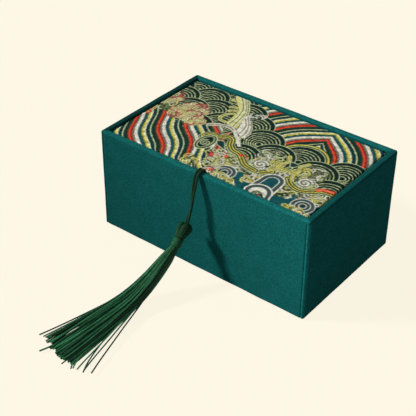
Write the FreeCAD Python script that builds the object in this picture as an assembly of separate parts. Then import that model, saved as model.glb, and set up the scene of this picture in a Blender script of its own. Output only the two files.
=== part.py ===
import FreeCAD, Part
import math
import os
from FreeCAD import Placement, Rotation, Vector

# A keepsake box of greyboard wrapped in plain cloth, with an inset padded brocade lid on a cloth hinge
# and a silk tassel at the lid's front edge. Millimetres, X along the length, -Y at the front, Z up,
# with the origin in the middle of the underside.

# Outside of the box
BOX_LENGTH = 122.0
BOX_DEPTH = 75.0
BOX_HEIGHT = 55.0

# Boards
WALL_BOARD = 2.5
BASE_BOARD = 2.5
LEDGE_BOARD = 2.5
LID_BOARD = 2.5

# Cloth, foam and paper
WRAP = 0.4
BOTTOM_SHEET = 0.4
LINING = 0.6
FLOOR_PAD = 1.0
FLOOR_LINING = 0.6
LID_PAD = 0.6
LID_CROWN = 0.4
BROCADE = 0.5
LID_LINING = 0.5
HINGE_CLOTH = 0.4

# How far cloth is folded under an edge, and how far a sheet stops short of one
WRAP_TURN_UNDER = 10.0
BROCADE_TURN_UNDER = 8.0
BOTTOM_INSET = 1.5
HINGE_INSET = 2.0
LEAF_FOOT = 0.3

# Rounded edges
CORNER_RADIUS = 1.2
RIM_RADIUS = 0.6
LID_EDGE_RADIUS = 1.0

# How the lid sits in the rim
LID_END_GAP = 0.6
LID_FRONT_GAP = 0.9
LID_RECESS = 0.6

# Fold of the hinge cloth, whose bead lies on the hinge axis
HINGE_DROP = 0.3
BEAD_RADIUS = 0.25
BEAD_CLEARANCE = 0.05
LEAF_BACKSET = 0.15

# Tassel cord, doubled, and its seat in the lid
CORD_DIAMETER = 1.1
CORD_SPREAD = 0.75
CORD_TAIL = 10.0
CORD_SIDE_CLEARANCE = 0.2
CORD_WALL_CLEARANCE = 0.3
CORD_OVER_RIM = 0.75
TAIL_PROUD = 0.2
NOTCH_DEPTH = 0.8
NOTCH_SIDE = 0.6
ARC_SHARE = 0.45

# Hanging run of the cord: x of its middle, distance in front of the wall, height, half the legs' spacing,
# and how far the pair is turned in degrees
CORD_HANG = [
    (0.0, 2.3, 52.4, 0.85, 0.0),
    (0.25, 4.4, 45.6, 0.75, -35.0),
    (0.25, 5.1, 39.6, 0.66, -60.0),
    (-0.75, 6.1, 34.0, 0.64, -35.0),
]

# Tassel head, from where the cord enters it to the bound neck
HEAD_TOP = (-1.0, 7.0, 30.6)
NECK = (-1.82, 15.0, 21.58)
HEAD_SHOULDER = (2.5, 0.6)
HEAD_WIDEST = (3.3, 2.2)
HEAD_WAIST = (2.8, 5.0)
CORD_SEAT = 2.0
NECK_RADIUS = 1.95
NECK_LENGTH = 4.6
BINDING = 0.4
BINDING_LENGTH = 4.4
BINDING_FIT = 0.05

# Tassel skirt: x, distance in front of the wall, height, half width and half thickness along it
SKIRT = [
    (-2.05, 18.3, 19.3, 3.0, 2.7),
    (-2.3, 22.0, 16.4, 4.2, 3.0),
    (-3.3, 31.7, 9.9, 6.0, 3.0),
    (-4.6, 44.3, 5.0, 8.2, 2.6),
    (-6.2, 62.5, 2.5, 12.0, 2.0),
    (-7.4, 85.0, 1.7, 15.6, 1.3),
]

# Half sizes of the layers, from the outside inwards
OUTER_X = BOX_LENGTH / 2
OUTER_Y = BOX_DEPTH / 2
BOARD_X = OUTER_X - WRAP
BOARD_Y = OUTER_Y - WRAP
CORE_X = BOARD_X - WALL_BOARD
CORE_Y = BOARD_Y - WALL_BOARD
RIM_X = CORE_X - WRAP
RIM_Y = CORE_Y - WRAP
TRAY_X = CORE_X - LINING
LEDGE_Y = CORE_Y - LEDGE_BOARD
TRAY_Y = LEDGE_Y - LINING

# Heights of the layers, first up from the floor and then down from the rim
BOARD_BOTTOM = BOTTOM_SHEET + WRAP
BOARD_TOP = BOX_HEIGHT - WRAP
BASE_TOP = BOARD_BOTTOM + BASE_BOARD
PAD_TOP = BASE_TOP + FLOOR_PAD
FLOOR_TOP = PAD_TOP + FLOOR_LINING
LID_TOP = BOX_HEIGHT - LID_RECESS
LID_PAD_TOP = LID_TOP - BROCADE
LID_BOARD_TOP = LID_PAD_TOP - LID_PAD
LID_BOARD_BOTTOM = LID_BOARD_TOP - LID_BOARD
LEDGE_TOP = LID_BOARD_BOTTOM - BROCADE

# Hinge axis and the lid's outline
LEAF_FACE = RIM_Y - HINGE_CLOTH
HINGE_Y = LEAF_FACE - BEAD_CLEARANCE - BEAD_RADIUS
HINGE_Z = LID_TOP - HINGE_DROP
HINGE_X = RIM_X - LID_END_GAP - HINGE_INSET
LID_X = RIM_X - LID_END_GAP
LID_FRONT = LID_FRONT_GAP - RIM_Y
LID_BACK = HINGE_Y - LEAF_BACKSET - HINGE_CLOTH
LID_MIDDLE = (LID_FRONT + LID_BACK) / 2

# Cord's seat in the lid and the tassel's pivot
CORD_RADIUS = CORD_DIAMETER / 2
CHANNEL_X = CORD_SPREAD + CORD_RADIUS + CORD_SIDE_CLEARANCE
NOTCH_X = CHANNEL_X + NOTCH_SIDE
NOTCH_FACE = LID_FRONT + NOTCH_DEPTH
TAIL_Z = LID_BOARD_BOTTOM + CORD_RADIUS
PIVOT_Y = (NOTCH_FACE - RIM_Y) / 2
CORD_RIM_Z = BOX_HEIGHT + CORD_OVER_RIM + CORD_RADIUS
CORD_FRONT_Y = -OUTER_Y - CORD_WALL_CLEARANCE - CORD_RADIUS

# Cuts reach this far past the faces that they go through, and heights this close count as equal
PAST = 1.0
NEARLY = 0.004
LEFT = -1
RIGHT = 1
FRONT = -1
BACK = 1
INWARD = Vector(0, 1, 0)


def block(x_low, x_high, y_low, y_high, z_low, z_high):
    low = Vector(min(x_low, x_high), min(y_low, y_high), z_low)
    return Part.makeBox(abs(x_high - x_low), abs(y_high - y_low), z_high - z_low, low)


def centred_block(half_x, half_y, z_low, z_high):
    return block(-half_x, half_x, -half_y, half_y, z_low, z_high)


def is_upright(edge):
    box = edge.BoundBox
    return box.XLength + box.YLength < box.ZLength


def is_level_at(edge, height):
    box = edge.BoundBox
    return max(abs(box.ZMin - height), abs(box.ZMax - height)) < NEARLY


def upright_edges(shape):
    return [edge for edge in shape.Edges if is_upright(edge)]


def rounded_block(half_x, half_y, z_low, z_high, radius):
    plain = centred_block(half_x, half_y, z_low, z_high)
    return plain.makeFillet(radius, upright_edges(plain))


def edges_at_height(shape, height):
    return [edge for edge in shape.Edges if is_level_at(edge, height)]


def board_envelope():
    return rounded_block(BOARD_X, BOARD_Y, BOARD_BOTTOM, BOARD_TOP, CORNER_RADIUS - WRAP)


def long_wall_board(side):
    plain = block(-BOARD_X, BOARD_X, side * CORE_Y, side * BOARD_Y, BOARD_BOTTOM, BOARD_TOP)
    return plain.common(board_envelope())


def end_wall_board(side):
    return block(side * CORE_X, side * BOARD_X, -CORE_Y, CORE_Y, BOARD_BOTTOM, BOARD_TOP)


def base_board():
    return centred_block(CORE_X, CORE_Y, BOARD_BOTTOM, BASE_TOP)


def outer_wrap():
    skin = rounded_block(OUTER_X, OUTER_Y, BOTTOM_SHEET, BOX_HEIGHT, CORNER_RADIUS).cut(board_envelope())
    skin = skin.fuse(centred_block(CORE_X, CORE_Y, LEDGE_TOP, BOARD_TOP))
    mouth = centred_block(RIM_X, RIM_Y, LEDGE_TOP - PAST, BOX_HEIGHT + PAST)
    underside = centred_block(
        OUTER_X - WRAP_TURN_UNDER, OUTER_Y - WRAP_TURN_UNDER, BOTTOM_SHEET - PAST, BOARD_BOTTOM + PAST
    )
    skin = skin.cut(mouth).cut(underside).removeSplitter()
    return skin.makeFillet(RIM_RADIUS, edges_at_height(skin, BOX_HEIGHT))


def bottom_cover():
    return centred_block(OUTER_X - BOTTOM_INSET, OUTER_Y - BOTTOM_INSET, 0, BOTTOM_SHEET)


def ledge_board(side):
    return block(-CORE_X, CORE_X, side * LEDGE_Y, side * CORE_Y, BASE_TOP, LEDGE_TOP - LINING)


def ledge_lining(side):
    face = block(-CORE_X, CORE_X, side * TRAY_Y, side * LEDGE_Y, BASE_TOP, LEDGE_TOP)
    top = block(-CORE_X, CORE_X, side * LEDGE_Y, side * CORE_Y, LEDGE_TOP - LINING, LEDGE_TOP)
    return face.fuse(top).removeSplitter()


def end_lining(side):
    return block(side * TRAY_X, side * CORE_X, -TRAY_Y, TRAY_Y, BASE_TOP, LEDGE_TOP)


def floor_pad():
    return centred_block(TRAY_X, TRAY_Y, BASE_TOP, PAD_TOP)


def floor_lining():
    return centred_block(TRAY_X, TRAY_Y, PAD_TOP, FLOOR_TOP)


def hinge_wall_leaf():
    leaf = block(-HINGE_X, HINGE_X, LEAF_FACE, RIM_Y, LEDGE_TOP + LEAF_FOOT, HINGE_Z + BEAD_RADIUS)
    bridge = block(-HINGE_X, HINGE_X, HINGE_Y, LEAF_FACE, HINGE_Z, HINGE_Z + BEAD_RADIUS)
    bead = Part.makeCylinder(BEAD_RADIUS, 2 * HINGE_X, Vector(-HINGE_X, HINGE_Y, HINGE_Z), Vector(1, 0, 0))
    return leaf.fuse([bridge, bead]).removeSplitter()


def hinge_lid_leaf():
    leaf_top = LID_TOP - LID_EDGE_RADIUS
    return block(-HINGE_X, HINGE_X, LID_BACK, LID_BACK + HINGE_CLOTH, LEDGE_TOP + LEAF_FOOT, leaf_top)


def crowned_lid_block(inset, z_low, lowered):
    """A block inside the lid's outline, under a large ball that gives the padded top its crown."""
    half_depth = (LID_BACK - LID_FRONT) / 2
    ball_radius = (LID_X**2 + half_depth**2 + LID_CROWN**2) / (2 * LID_CROWN)
    crest = LID_TOP + LID_CROWN - lowered
    ball = Part.makeSphere(ball_radius, Vector(0, LID_MIDDLE, crest - ball_radius))
    return inset_lid_block(inset, z_low, crest + PAST).common(ball)


def cord_notch(skin):
    """The dent in the lid's front edge that lets the doubled cord past, larger by the skin that lines it."""
    half_width = NOTCH_X + skin
    z_low = LEDGE_TOP - PAST
    z_high = BOX_HEIGHT + PAST
    return block(-half_width, half_width, LID_FRONT - PAST, NOTCH_FACE + skin, z_low, z_high)


def cord_channel(y_high):
    """The groove under the lid board that holds the cord's glued ends."""
    channel_top = LID_BOARD_BOTTOM + CORD_DIAMETER + CORD_SIDE_CLEARANCE
    return block(-CHANNEL_X, CHANNEL_X, LID_FRONT - PAST, y_high, LID_BOARD_BOTTOM, channel_top)


def inset_lid_block(inset, z_low, z_high):
    """A plain block as wide and deep as the lid, less the inset on every side."""
    return block(inset - LID_X, LID_X - inset, LID_FRONT + inset, LID_BACK - inset, z_low, z_high)


def lid_board():
    plain = inset_lid_block(BROCADE, LID_BOARD_BOTTOM, LID_BOARD_TOP)
    groove = cord_channel(NOTCH_FACE + CORD_TAIL + CORD_SIDE_CLEARANCE)
    return plain.cut(cord_notch(BROCADE)).cut(groove)


def lid_padding():
    return crowned_lid_block(BROCADE, LID_BOARD_TOP, BROCADE).cut(cord_notch(BROCADE))


def lid_brocade():
    cover = crowned_lid_block(0, LEDGE_TOP, 0)
    top_edges = [edge for edge in cover.Edges if edge.BoundBox.ZMin > LID_BOARD_TOP]
    cover = cover.makeFillet(LID_EDGE_RADIUS, top_edges + upright_edges(cover))
    cover = cover.cut(crowned_lid_block(BROCADE, LID_BOARD_BOTTOM, BROCADE).cut(cord_notch(BROCADE)))
    underside = inset_lid_block(BROCADE + BROCADE_TURN_UNDER, LEDGE_TOP - PAST, LID_BOARD_BOTTOM + PAST)
    return cover.cut(underside).cut(cord_notch(0)).cut(cord_channel(NOTCH_FACE + BROCADE))


def lid_lining():
    return inset_lid_block(BROCADE + BROCADE_TURN_UNDER, LID_BOARD_BOTTOM - LID_LINING, LID_BOARD_BOTTOM)


def cord_tails():
    start = NOTCH_FACE - TAIL_PROUD
    tails = [
        Part.makeCylinder(CORD_RADIUS, CORD_TAIL, Vector(side * CORD_SPREAD, start, TAIL_Z), INWARD)
        for side in (LEFT, RIGHT)
    ]
    return Part.makeCompound(tails)


def in_front(x, forward, height):
    """A point given by its distance in front of the box's front face."""
    return Vector(x, -OUTER_Y - forward, height)


def cord_route(side):
    """One leg of the doubled cord: out of the lid's front gap, over the rim and down to the tassel's head."""
    seat = (in_front(*NECK) - in_front(*HEAD_TOP)).normalize() * CORD_SEAT
    spread = side * CORD_SPREAD
    points = [
        Vector(spread, PIVOT_Y, TAIL_Z),
        Vector(spread, PIVOT_Y, CORD_RIM_Z),
        Vector(spread, CORD_FRONT_Y, CORD_RIM_Z),
    ]
    for x, forward, height, half, turn in CORD_HANG:
        apart = Rotation(Vector(0, 0, 1), turn).multVec(Vector(side * half, 0, 0))
        points.append(in_front(x, forward, height) + apart)
    last_spacing = Vector(side * CORD_HANG[-1][3], 0, 0)
    return points + [in_front(*HEAD_TOP) + seat + last_spacing]


def rounded_path(points):
    """Straight runs joined by the largest tangent arcs that the runs allow."""
    edges = []
    radii = []
    start = points[0]
    for before, corner, after in zip(points, points[1:], points[2:]):
        run_in = corner - before
        run_out = after - corner
        half_turn = run_in.getAngle(run_out) / 2
        reach = ARC_SHARE * min(run_in.Length, run_out.Length)
        back = Vector(run_in).normalize() * -reach
        ahead = Vector(run_out).normalize() * reach
        radius = reach / math.tan(half_turn)
        centre = corner + (back + ahead).normalize() * (radius / math.cos(half_turn))
        middle = centre + (corner - centre).normalize() * radius
        edges.append(Part.LineSegment(start, corner + back).toShape())
        edges.append(Part.Arc(corner + back, middle, corner + ahead).toShape())
        radii.append(radius)
        start = corner + ahead
    edges.append(Part.LineSegment(start, points[-1]).toShape())
    return Part.Wire(edges), radii


def tassel_cord_leg(side):
    points = cord_route(side)
    path, radii = rounded_path(points)
    circle = Part.makeCircle(CORD_RADIUS, points[0], points[1] - points[0])
    leg = path.makePipeShell([Part.Wire(circle)], True, False)
    expected = math.pi * CORD_RADIUS**2 * path.Length
    print("cord leg: length", round(path.Length, 2), "radii", [round(radius, 2) for radius in radii])
    print("cord leg: volume", round(leg.Volume, 3), "section times length", round(expected, 3))
    return leg


def head_axis():
    top = in_front(*HEAD_TOP)
    return top, in_front(*NECK) - top


def along_head(shape):
    """Moves a shape made up the Z axis so that it runs down the tassel head's axis from the head's top."""
    top, axis = head_axis()
    placed = shape.copy()
    placed.Placement = Placement(top, Rotation(Vector(0, 0, 1), axis))
    return placed


def tassel_head(cord_legs):
    length = head_axis()[1].Length
    crown = Vector(0, 0, 0)
    shoulder = Vector(HEAD_SHOULDER[0], 0, HEAD_SHOULDER[1])
    widest = Vector(HEAD_WIDEST[0], 0, HEAD_WIDEST[1])
    waist = Vector(HEAD_WAIST[0], 0, HEAD_WAIST[1])
    neck_start = Vector(NECK_RADIUS, 0, length - NECK_LENGTH)
    neck_end = Vector(NECK_RADIUS, 0, length)
    axis_end = Vector(0, 0, length)
    outline = Part.Wire(
        [
            Part.Arc(crown, shoulder, widest).toShape(),
            Part.Arc(widest, waist, neck_start).toShape(),
            Part.LineSegment(neck_start, neck_end).toShape(),
            Part.LineSegment(neck_end, axis_end).toShape(),
            Part.LineSegment(axis_end, crown).toShape(),
        ]
    )
    head = along_head(Part.Face(outline).revolve(Vector(0, 0, 0), Vector(0, 0, 1), 360))
    return head.cut(cord_legs)


def neck_binding():
    length = head_axis()[1].Length
    start = Vector(0, 0, length - (NECK_LENGTH + BINDING_LENGTH) / 2)
    inner = NECK_RADIUS + BINDING_FIT
    sleeve = Part.makeCylinder(inner + BINDING, BINDING_LENGTH, start)
    sleeve = sleeve.makeFillet(BINDING / 2, [edge for edge in sleeve.Edges if len(edge.Vertexes) == 1])
    bore = Part.makeCylinder(inner, BINDING_LENGTH + 2 * PAST, start - Vector(0, 0, PAST))
    return along_head(sleeve.cut(bore))


def oval(centre, direction, half_width, half_thickness):
    """A closed oval of four arcs, level across its width and square to a direction."""
    across = direction.cross(Vector(0, 0, 1)).normalize() * half_width
    upwards = across.cross(direction).normalize() * half_thickness
    diagonal = math.sqrt(0.5)
    corners = [across, upwards, across * -1, upwards * -1]
    arcs = []
    for first, second in zip(corners, corners[1:] + corners[:1]):
        between = (first + second) * diagonal
        arcs.append(Part.Arc(centre + first, centre + between, centre + second).toShape())
    return Part.Wire(arcs)


def tassel_skirt():
    axis = head_axis()[1]
    centres = [in_front(*NECK)] + [in_front(*point[:3]) for point in SKIRT]
    sections = [oval(centres[0], axis, NECK_RADIUS, NECK_RADIUS)]
    for index, (*_, half_width, half_thickness) in enumerate(SKIRT, start=1):
        following = centres[min(index + 1, len(SKIRT))]
        sections.append(oval(centres[index], following - centres[index - 1], half_width, half_thickness))
    return Part.makeLoft(sections, True, True)


def all_nodes():
    left_leg = tassel_cord_leg(LEFT)
    right_leg = tassel_cord_leg(RIGHT)
    return {
        "base_board": base_board(),
        "front_wall_board": long_wall_board(FRONT),
        "back_wall_board": long_wall_board(BACK),
        "left_wall_board": end_wall_board(LEFT),
        "right_wall_board": end_wall_board(RIGHT),
        "outer_wrap": outer_wrap(),
        "bottom_cover": bottom_cover(),
        "front_ledge_board": ledge_board(FRONT),
        "back_ledge_board": ledge_board(BACK),
        "front_lining": ledge_lining(FRONT),
        "back_lining": ledge_lining(BACK),
        "left_lining": end_lining(LEFT),
        "right_lining": end_lining(RIGHT),
        "floor_pad": floor_pad(),
        "floor_lining": floor_lining(),
        "hinge_wall_leaf": hinge_wall_leaf(),
        "hinge_lid_leaf": hinge_lid_leaf(),
        "lid_board": lid_board(),
        "lid_padding": lid_padding(),
        "lid_brocade": lid_brocade(),
        "lid_lining": lid_lining(),
        "cord_tails": cord_tails(),
        "tassel_cord_left": left_leg,
        "tassel_cord_right": right_leg,
        "tassel_head": tassel_head([left_leg, right_leg]),
        "neck_binding": neck_binding(),
        "tassel_skirt": tassel_skirt(),
    }


def main():
    os.makedirs("parts", exist_ok=True)
    for name, shape in all_nodes().items():
        solids = len(shape.Solids)
        print(name, "solids", solids, "valid", shape.isValid(), "volume", round(shape.Volume, 2))
        shape.exportStep(os.path.join("parts", name + ".step"))


main()
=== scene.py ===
import math

import bmesh
import bpy
import numpy as np
from mathutils import Euler, Matrix, Vector


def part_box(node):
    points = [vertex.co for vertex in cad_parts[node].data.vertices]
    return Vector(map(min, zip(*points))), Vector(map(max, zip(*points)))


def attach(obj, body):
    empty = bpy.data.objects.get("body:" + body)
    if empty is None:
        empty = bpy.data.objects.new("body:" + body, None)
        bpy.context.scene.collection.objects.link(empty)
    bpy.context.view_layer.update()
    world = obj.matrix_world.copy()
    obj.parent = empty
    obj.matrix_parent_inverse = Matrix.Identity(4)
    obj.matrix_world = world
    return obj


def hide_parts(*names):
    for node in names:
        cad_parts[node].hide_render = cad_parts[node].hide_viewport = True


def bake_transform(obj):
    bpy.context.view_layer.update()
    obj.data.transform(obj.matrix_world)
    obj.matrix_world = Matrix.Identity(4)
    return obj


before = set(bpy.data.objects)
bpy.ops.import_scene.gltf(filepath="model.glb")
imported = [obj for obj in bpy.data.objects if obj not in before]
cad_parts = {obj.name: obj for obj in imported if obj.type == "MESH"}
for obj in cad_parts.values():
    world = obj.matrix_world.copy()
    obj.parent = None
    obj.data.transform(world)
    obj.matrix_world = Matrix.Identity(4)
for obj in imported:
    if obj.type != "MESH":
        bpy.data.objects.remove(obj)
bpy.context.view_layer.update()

# A keepsake box wrapped in teal cloth, with a padded brocade lid and a silk tassel.
# Blender's own lengths are metres. The shapes here are worked out in millimetres and scaled at the end.
MM = 0.001
TURN = 2 * math.pi
TINY = 1e-9
UP = (0, 0, 1)

# Camera at the photograph's viewing angle
CAMERA_PLACE = (248.2, -347.8, 315.4)
CAMERA_DOWN = 35.11
CAMERA_YAW = 38.01
CAMERA_ROLL = 0.45
CAMERA_LENS = 90.28
CAMERA_NEAR = 10.0

# Studio light and floor
KEY_TRAVEL = (1.35, 1.0, -1.4)
KEY_STRENGTH = 3.4
KEY_SPREAD = 8.6
AMBIENT = 0.3
AMBIENT_TINT = (0.96, 0.98, 1.0)
FLOOR_SIZE = 6000.0
FLOOR_DROP = 0.1
FLOOR_SHADE = 0.06
FLOOR_BOUNCE = 0.16

# Cloth and its folds
WRAP_THICKNESS = 0.38
WRAP_CORNER = 1.2
TIGHTEST_CORNER = 0.12
WRAP_TURN_UNDER = 10.0
RIM_WIDTH = 3.3
RIM_ROUND = 0.85
FOOT_ROUND = 0.6
SEAM_FROM_EDGE = 1.6
SEAM_HALF_WIDTH = 0.36
SEAM_DEPTH = 0.3
MITRE_HALF_WIDTH = 0.24
MITRE_DEPTH = 0.16
MITRE_BOW = 0.35
MITRE_REACH = 0.5
MITRE_LIP = 0.7
LIP_OFFSET = 2.2 * MITRE_HALF_WIDTH
LIP_HALF_WIDTH = 2 * MITRE_HALF_WIDTH
CLOTH_WAVER = 0.035
# Painted shade on the short rims, darker on the left than on the right
LEFT_RIM_PAINTED_SHADE = 0.34
RIGHT_RIM_PAINTED_SHADE = 0.62
PAINTED_SHADE_REACH = 0.2
# Upright edges are painted paler
EDGE_PALING = 1.5
# Painted light: the front wall grows lighter towards its right end and towards its top
FRONT_PAINTED_LIGHT = 0.25
TOP_PAINTED_LIGHT = 0.1

# Lid cover
LID_EDGE = 1.0
LID_CROWN = 0.4
BROCADE_TURN_UNDER = 8.5
UNDER_ROUND = 0.4
UNDER_CORNER = 0.15
NOTCH_HALF_WIDTH = 2.5
NOTCH_SLOPE = 0.9
NOTCH_REACH = 3.0
NOTCH_RUN = 2.0
NOTCH_DEPTH = 0.8
THREAD_HEIGHT = 0.13
THREAD_SINK = 0.4
LID_SHARP = 75
UV_MARGIN = 1.01

# Inside, hinge and padding
LINING = 0.55
LEDGE_ROUND = 0.5
PAD_EDGE = 0.45
PAD_EDGE_SHARES = (0, 0.15, 0.4, 0.7, 1.0)
HINGE_CLOTH = 0.3
# Painted shade: the hinge cloth is darker, for the gap between box and lid that it lies in
HINGE_PAINTED_SHADE = 0.5

# Mesh steps: lengths in millimetres, then steps of a smooth path's spans and counts of points
FOLD_STEP = 0.2
FOLD_REACH = 2.6
WALL_STEP = 1.6
STRIP_STEP = 1.8
PAD_STEP = 1.8
LID_STEP = 0.34
TURN_UNDER_STEP = 0.7
PATH_STEPS = 8
LINE_STEPS = 6
RING_STEPS = 5
WIDE_RING_STEPS = 4
ARC_POINTS = 6
CORNER_POINTS = 9
SHORT_POINTS = 6
RIM_POINTS = 8
WALL_POINTS = 30
LINING_POINTS = 20
SHELF_POINTS = 5
HINGE_POINTS = 13
LID_EDGE_POINTS = 7
LID_SIDE_POINTS = 8
LID_UNDER_POINTS = 4
LID_CORNER_POINTS = 5

# Unevenness: size of the bumps and seed
WRAP_WAVER = (9.0, 3)
STRIP_WAVER = (8.0, 5)
PAD_WAVER = (9.0, 11)
SCALE_WAVER = (1.5, 41)
FINE_FLECKS = (0.7, 7)
BROAD_FLECKS = (2.5, 8)
RIPPLE_WAVES = 7
RIPPLE_PITCHES = (1.2, 2.6)

# CAD nodes that keep their own shape
BOARDS = (
    "base_board", "front_wall_board", "back_wall_board", "left_wall_board", "right_wall_board",
    "front_ledge_board", "back_ledge_board", "lid_board",
)

# Doubled cord: x, y and z of its middle, half the distance between its legs and the turn of the pair
CORD_DIAMETER = 1.1
CORD_ROUTE = (
    (0.0, -33.35, 51.35, 0.75, 0.0),
    (0.0, -33.35, 56.3, 0.75, 0.0),
    (0.0, -38.35, 56.3, 0.75, 0.0),
    (0.0, -39.8, 52.4, 0.85, 0.0),
    (0.25, -41.9, 45.6, 0.75, -35.0),
    (0.25, -42.6, 39.6, 0.66, -60.0),
    (-0.75, -43.6, 34.0, 0.64, -35.0),
    (-1.136, -45.824, 29.107, 0.64, 0.0),
)
ROUTE_RESOLUTION = 16
ROUTE_ORDER = 3
ROPE_STRANDS = 3
ROPE_PITCH = 3.4
ROPE_OFFSET = 0.22
ROPE_STRAND = 0.37
TAIL_SQUEEZE = 0.84
TAIL_POINTS = 40
CORD_SHADE = 0.42
TUBE_SIDES = 6
ASKEW = (0.3, 0.2, 1.0)

# Tassel's head and binding: widths are half widths, and places along the head are shares of its length.
# A lobe has its middle and half width, as shares of the head's half width, and how much lower it starts.
WALL_FACE = 37.5
HEAD_TOP = (-1.0, -7.0 - WALL_FACE, 30.6)
NECK = (-1.82, -15.0 - WALL_FACE, 21.58)
HEAD_WIDTHS = ((0.0, 2.9), (0.15, 3.0), (0.3, 2.8), (0.5, 2.2), (0.62, 1.75), (1.0, 1.7))
HEAD_LOBES = ((-0.42, 0.6, 0.0), (0.58, 0.44, 0.035))
LOBE_DEPTH = 0.45
HEAD_FOLD = 0.2
HEAD_THREADS = 7
HEAD_THREAD = 0.36
OUTER_THREAD = 0.94
HEAD_CORE = 0.85
CORE_SIDES = 12
CORE_POINTS = 12
FOLD_PLACE = 0.7 * HEAD_FOLD
FOLD_POINTS = 13
FOLD_ROUND = 1.02
RISE_POINTS = 16
BEND_POINTS = 17
HEAD_SHADE = 0.64
BINDING_PLACE = (0.63, 0.99)
BINDING_RADIUS = 2.17
BINDING_TURNS = 11
BINDING_POINTS = 24
BINDING_THREAD = 0.23
BINDING_SIDES = 8
# The binding's first turns are painted dark, a painted shade under the head. The other turns are lighter
BINDING_SHADE = (0.15, 1.4)
BINDING_SHADOW_TURNS = 1.1

# Tassel's skirt: x, distance in front of the wall's face, height, half width and half thickness
SKIRT = (
    (-1.82, 15.0, 21.58, 1.75, 1.7),
    (-2.05, 18.3, 19.3, 2.6, 2.3),
    (-2.4, 22.0, 16.4, 3.6, 2.7),
    (-3.6, 31.7, 9.9, 5.5, 2.9),
    (-4.9, 44.3, 5.0, 7.9, 2.5),
    (-6.4, 62.5, 2.6, 11.6, 2.0),
    (-7.4, 84.0, 1.7, 15.4, 1.2),
    (-7.8, 91.0, 1.4, 16.4, 1.0),
)
SKIRT_TUCK = 0.34
STRANDS = 86
STRAYS = 8
STRAND_RADIUS = 0.47
STRAND_SIZES = (0.8, 1.1)
STRAND_TAPER = ((0, 0.72), (0.25, 1), (1, 0.9))
STRAY_RADIUS = 0.36
STRAND_REACH = 0.9
STRAND_SLANT = 0.05
STRAND_UNEVEN = 0.014
STRAND_DRIFT = 0.09
STRAND_WAVE = 0.09
STRAND_WAVES = (0.6, 1.6)
STRAY_WAVE = 0.13
STRAND_LIFT = 0.02
STRAND_SEED = 12
STRAND_SHADES = (0.05, 0.5, 3.4)
STRAY_ENDS = (-0.42, -1.0)
STRAY_REACHES = (0.955, 0.87)
STRAY_LEAVES = 1.8
LONGEST = (0.55, 0.985)
GOLDEN_ANGLE = 2.39996


def srgb(*levels):
    """Linear colour of an 8-bit screen colour."""
    shares = [level / 255 for level in levels]
    return tuple(share / 12.92 if share <= 0.04045 else ((share + 0.055) / 1.055) ** 2.4 for share in shares)


def grey(value):
    return (value, value, value)


# Colours of the studio, the silk and the brocade's threads
STUDIO_CREAM = (*srgb(254, 247, 230), 1)
SILK = ((0.012, 0.06, 0.026), (0.022, 0.114, 0.05))
BINDING_SILK = ((0.008, 0.045, 0.018), (0.013, 0.085, 0.035))
RED = srgb(222, 72, 48)
CRIMSON = srgb(150, 26, 22)
ORANGE = srgb(220, 124, 84)
MOSS = srgb(62, 66, 44)
MUSTARD = srgb(150, 142, 44)
CREAM = srgb(222, 222, 178)
BEIGE = srgb(118, 114, 94)
WHITE = srgb(220, 218, 200)
TEAL = srgb(14, 52, 54)
YELLOW = srgb(206, 198, 92)
STRAW = srgb(208, 204, 132)
GREEN = srgb(14, 48, 38)
DARK = srgb(5, 34, 31)
LINE = srgb(214, 226, 168)
PALE = srgb(190, 202, 152)
OLIVE = srgb(98, 114, 66)
PINK = srgb(178, 76, 80)
BLUSH = srgb(212, 194, 142)
NAVY = srgb(58, 78, 78)
WATER = srgb(18, 78, 82)

# Threads: soft edge, heights over the ground and flecks
THREAD = 0.3
PATCH_HEIGHT = 0.7
RIBBON_HEIGHT = 0.8
SCALE_HEIGHT = 0.2
WATER_HEIGHT = 0.1
STRIPE_HEIGHT = 0.6
FLECKS = 0.1
MARGIN = 1.0

# Stripes: width, colour and raggedness of each, in order across one repeat
STRIPES = (
    (1.1, RED, 0.1),
    (0.75, CRIMSON, 0.1),
    (1.0, BEIGE, 0.1),
    (1.7, WHITE, 0.12),
    (1.65, WATER, 0.1),
    (0.45, MUSTARD, 0.16),
    (0.9, YELLOW, 0.16),
    (0.9, CREAM, 0.16),
    (1.9, TEAL, 0.1),
    (0.6, PALE, 0.08),
    (1.9, GREEN, 0.1),
    (0.55, MOSS, 0.1),
)
STRIPE_REPEAT = 13.4
STRIPE_RIPPLE = 1.3
STRIPE_SEED = 20
MIRROR_X = 29.5
OGEE_FOOT = 5.0
OGEE_LEFT = -16.0
OGEE_FIRST_RED = 13.8
OGEE_PEAK = (0.1, 3.7)
OGEE_SPREAD = (0.4, 12)
SLOPE_FIRST_RED = -42.0
SLOPE_LEAN = (0.785, 0.62)
SLOPE_BEND = (-0.3, -12)
SLOPE_WAVE = 1.5
SLOPE_WAVE_LENGTH = 36
SLOPE_OUTLINE = (
    (-72, -2), (-55, 0), (-45, -3), (-38, -6), (-30, 0), (-24, 3), (-17, 2), (-13, -4),
    (-12, -14), (-8, -20), (0, -30), (6, -42), (-40, -50), (-72, -48),
)

# Wave scales: middle and radius of each
SCALE_EDGE = 0.36
SCALE_BAND = 2.3
SCALE_LINES = 1.4
SCALE_LEAN = 0.36
SCALE_THREAD = 0.15
SCALE_FRAY = 0.07
SCALE_LAST = 0.5
PAIR_SCALES = ((0, 3.0, 11.0), (11.9, -4.2, 11.3), (23.3, 4.0, 11.0), (25.0, -13.5, 11.0))
MIDDLE_SCALES = ((-6.0, 13.0, 11.0), (-15.5, 20.0, 11.0), (-26.0, 27.0, 11.0))
LEFT_SCALES = (
    (-63.0, 22.0, 10.5), (-40.0, 22.0, 10.5), (-54.0, 15.0, 10.5), (-31.0, 14.0, 10.5),
    (-42.5, 7.5, 10.5), (-20.5, 5.0, 10.5), (-31.0, -4.0, 10.5), (-51.0, 29.0, 10.5),
)
HALO = (MIRROR_X, 3.0, 13.3)
HALO_BANDS = ((0, GREEN), (0.6, YELLOW), (1.5, GREEN))

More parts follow.
